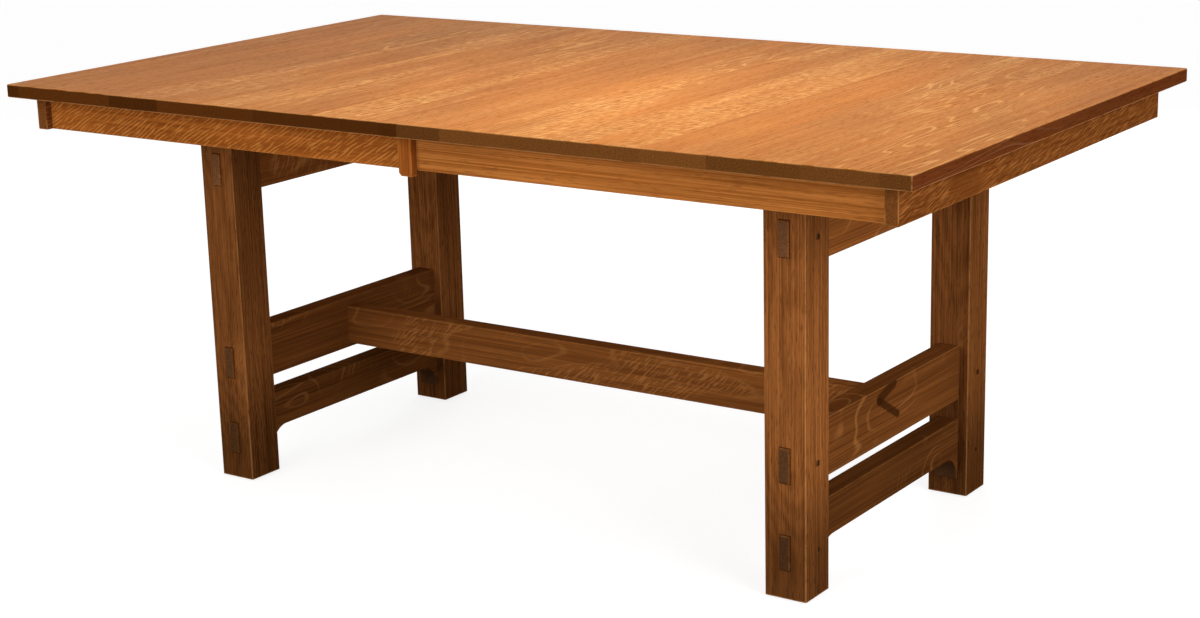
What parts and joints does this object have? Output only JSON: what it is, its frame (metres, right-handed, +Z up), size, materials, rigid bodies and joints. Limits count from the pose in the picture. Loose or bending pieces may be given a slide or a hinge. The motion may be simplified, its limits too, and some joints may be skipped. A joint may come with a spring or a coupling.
{
  "type": "butterfly extension table",
  "caption": "Rectangular oak trestle dining table whose top halves slide apart on geared slides to take a folding leaf stored beneath.",
  "frame": {"origin": "on the floor under the middle of the closed table", "axes": "+X along the table's length, +Y to the back, +Z up"},
  "size_m": [1.829, 1.067, 0.762],
  "materials": {
    "top_oak": "satin lacquer on stained quartersawn oak",
    "apron_oak": "satin lacquer on stained quartersawn oak",
    "leg_oak": "satin lacquer on stained quartersawn oak",
    "rail_oak": "satin lacquer on stained quartersawn oak",
    "slide_maple": "bare waxed hardwood",
    "dowel_wood": "bare beech",
    "steel": "zinc plated",
    "latch_steel": "bronzed",
    "brass": "brushed",
    "gear_nylon": "moulded",
    "glide_nylon": "moulded"
  },
  "bodies": {
    "base": {"back_slide_runner": "slide_maple", "cleat_screws": "steel", "floor_glides": "glide_nylon", "front_slide_runner": "slide_maple", "gear_pins": "steel", "leaf_dowels": "dowel_wood", "leaf_hinge_pins": "brass", "leaf_hinge_plates": "brass", "leaf_lower_panel": "top_oak", "leaf_stops": "slide_maple", "leaf_upper_panel": "top_oak", "left_cleat": "slide_maple", "left_leaf_carrier": "slide_maple", "left_lower_rail": "rail_oak", "left_middle_rail": "rail_oak", "left_top_rail": "rail_oak", "leg_back_left": "leg_oak", "leg_back_right": "leg_oak", "leg_front_left": "leg_oak", "leg_front_right": "leg_oak", "right_cleat": "slide_maple", "right_leaf_carrier": "slide_maple", "right_lower_rail": "rail_oak", "right_middle_rail": "rail_oak", "right_top_rail": "rail_oak", "slide_screws": "steel", "stretcher": "rail_oak", "stretcher_barrel_nuts": "steel", "stretcher_bolt_plugs": "rail_oak", "stretcher_bolts": "steel", "tenon_pegs": "rail_oak"},
    "left_half": {"left_back_apron": "apron_oak", "left_back_slide_bar": "slide_maple", "left_bar_screws": "steel", "left_corner_blocks": "slide_maple", "left_end_apron": "apron_oak", "left_front_apron": "apron_oak", "left_front_slide_bar": "slide_maple", "left_glue_blocks": "slide_maple", "left_racks": "gear_nylon", "left_seam_blocks": "apron_oak", "left_top_panel": "top_oak", "seam_dowels": "dowel_wood", "latch_plates": "latch_steel"},
    "right_half": {"right_back_apron": "apron_oak", "right_back_slide_bar": "slide_maple", "right_bar_screws": "steel", "right_corner_blocks": "slide_maple", "right_end_apron": "apron_oak", "right_front_apron": "apron_oak", "right_front_slide_bar": "slide_maple", "right_glue_blocks": "slide_maple", "right_racks": "gear_nylon", "right_top_panel": "top_oak", "latch_keepers": "latch_steel"},
    "front_gear": {"front_equalizer_gear": "gear_nylon"},
    "back_gear": {"back_equalizer_gear": "gear_nylon"},
    "front_latch": {"front_latch_lever": "latch_steel"},
    "back_latch": {"back_latch_lever": "latch_steel"}
  },
  "joints": [
    {"name": "left_slide", "type": "slide", "parent": "base", "child": "left_half", "axis": [-1, 0, 0], "range_m": [0, 0.2405]},
    {"name": "right_slide", "type": "slide", "parent": "base", "child": "right_half", "axis": [1, 0, 0], "range_m": [0, 0.2405]},
    {"name": "front_gear_spin", "type": "hinge", "parent": "base", "child": "front_gear", "pos_m": [0, -0.32025, 0.7105], "axis": [0, 0, 1], "range_deg": [-717.8, 0]},
    {"name": "back_gear_spin", "type": "hinge", "parent": "base", "child": "back_gear", "pos_m": [0, 0.32025, 0.7105], "axis": [0, 0, 1], "range_deg": [0, 717.8]},
    {"name": "front_latch_turn", "type": "hinge", "parent": "left_half", "child": "front_latch", "pos_m": [-0.016, -0.39675, 0.7342], "axis": [0, 0, -1], "range_deg": [0, 90]},
    {"name": "back_latch_turn", "type": "hinge", "parent": "left_half", "child": "back_latch", "pos_m": [-0.016, 0.39675, 0.7342], "axis": [0, 0, 1], "range_deg": [0, 90]}
  ],
  "couplings": [
    {"joint": "right_slide", "follows": "left_slide", "ratio": 1},
    {"joint": "front_gear_spin", "follows": "left_slide", "rad_per_m": -52.083},
    {"joint": "back_gear_spin", "follows": "left_slide", "rad_per_m": 52.083}
  ]
}
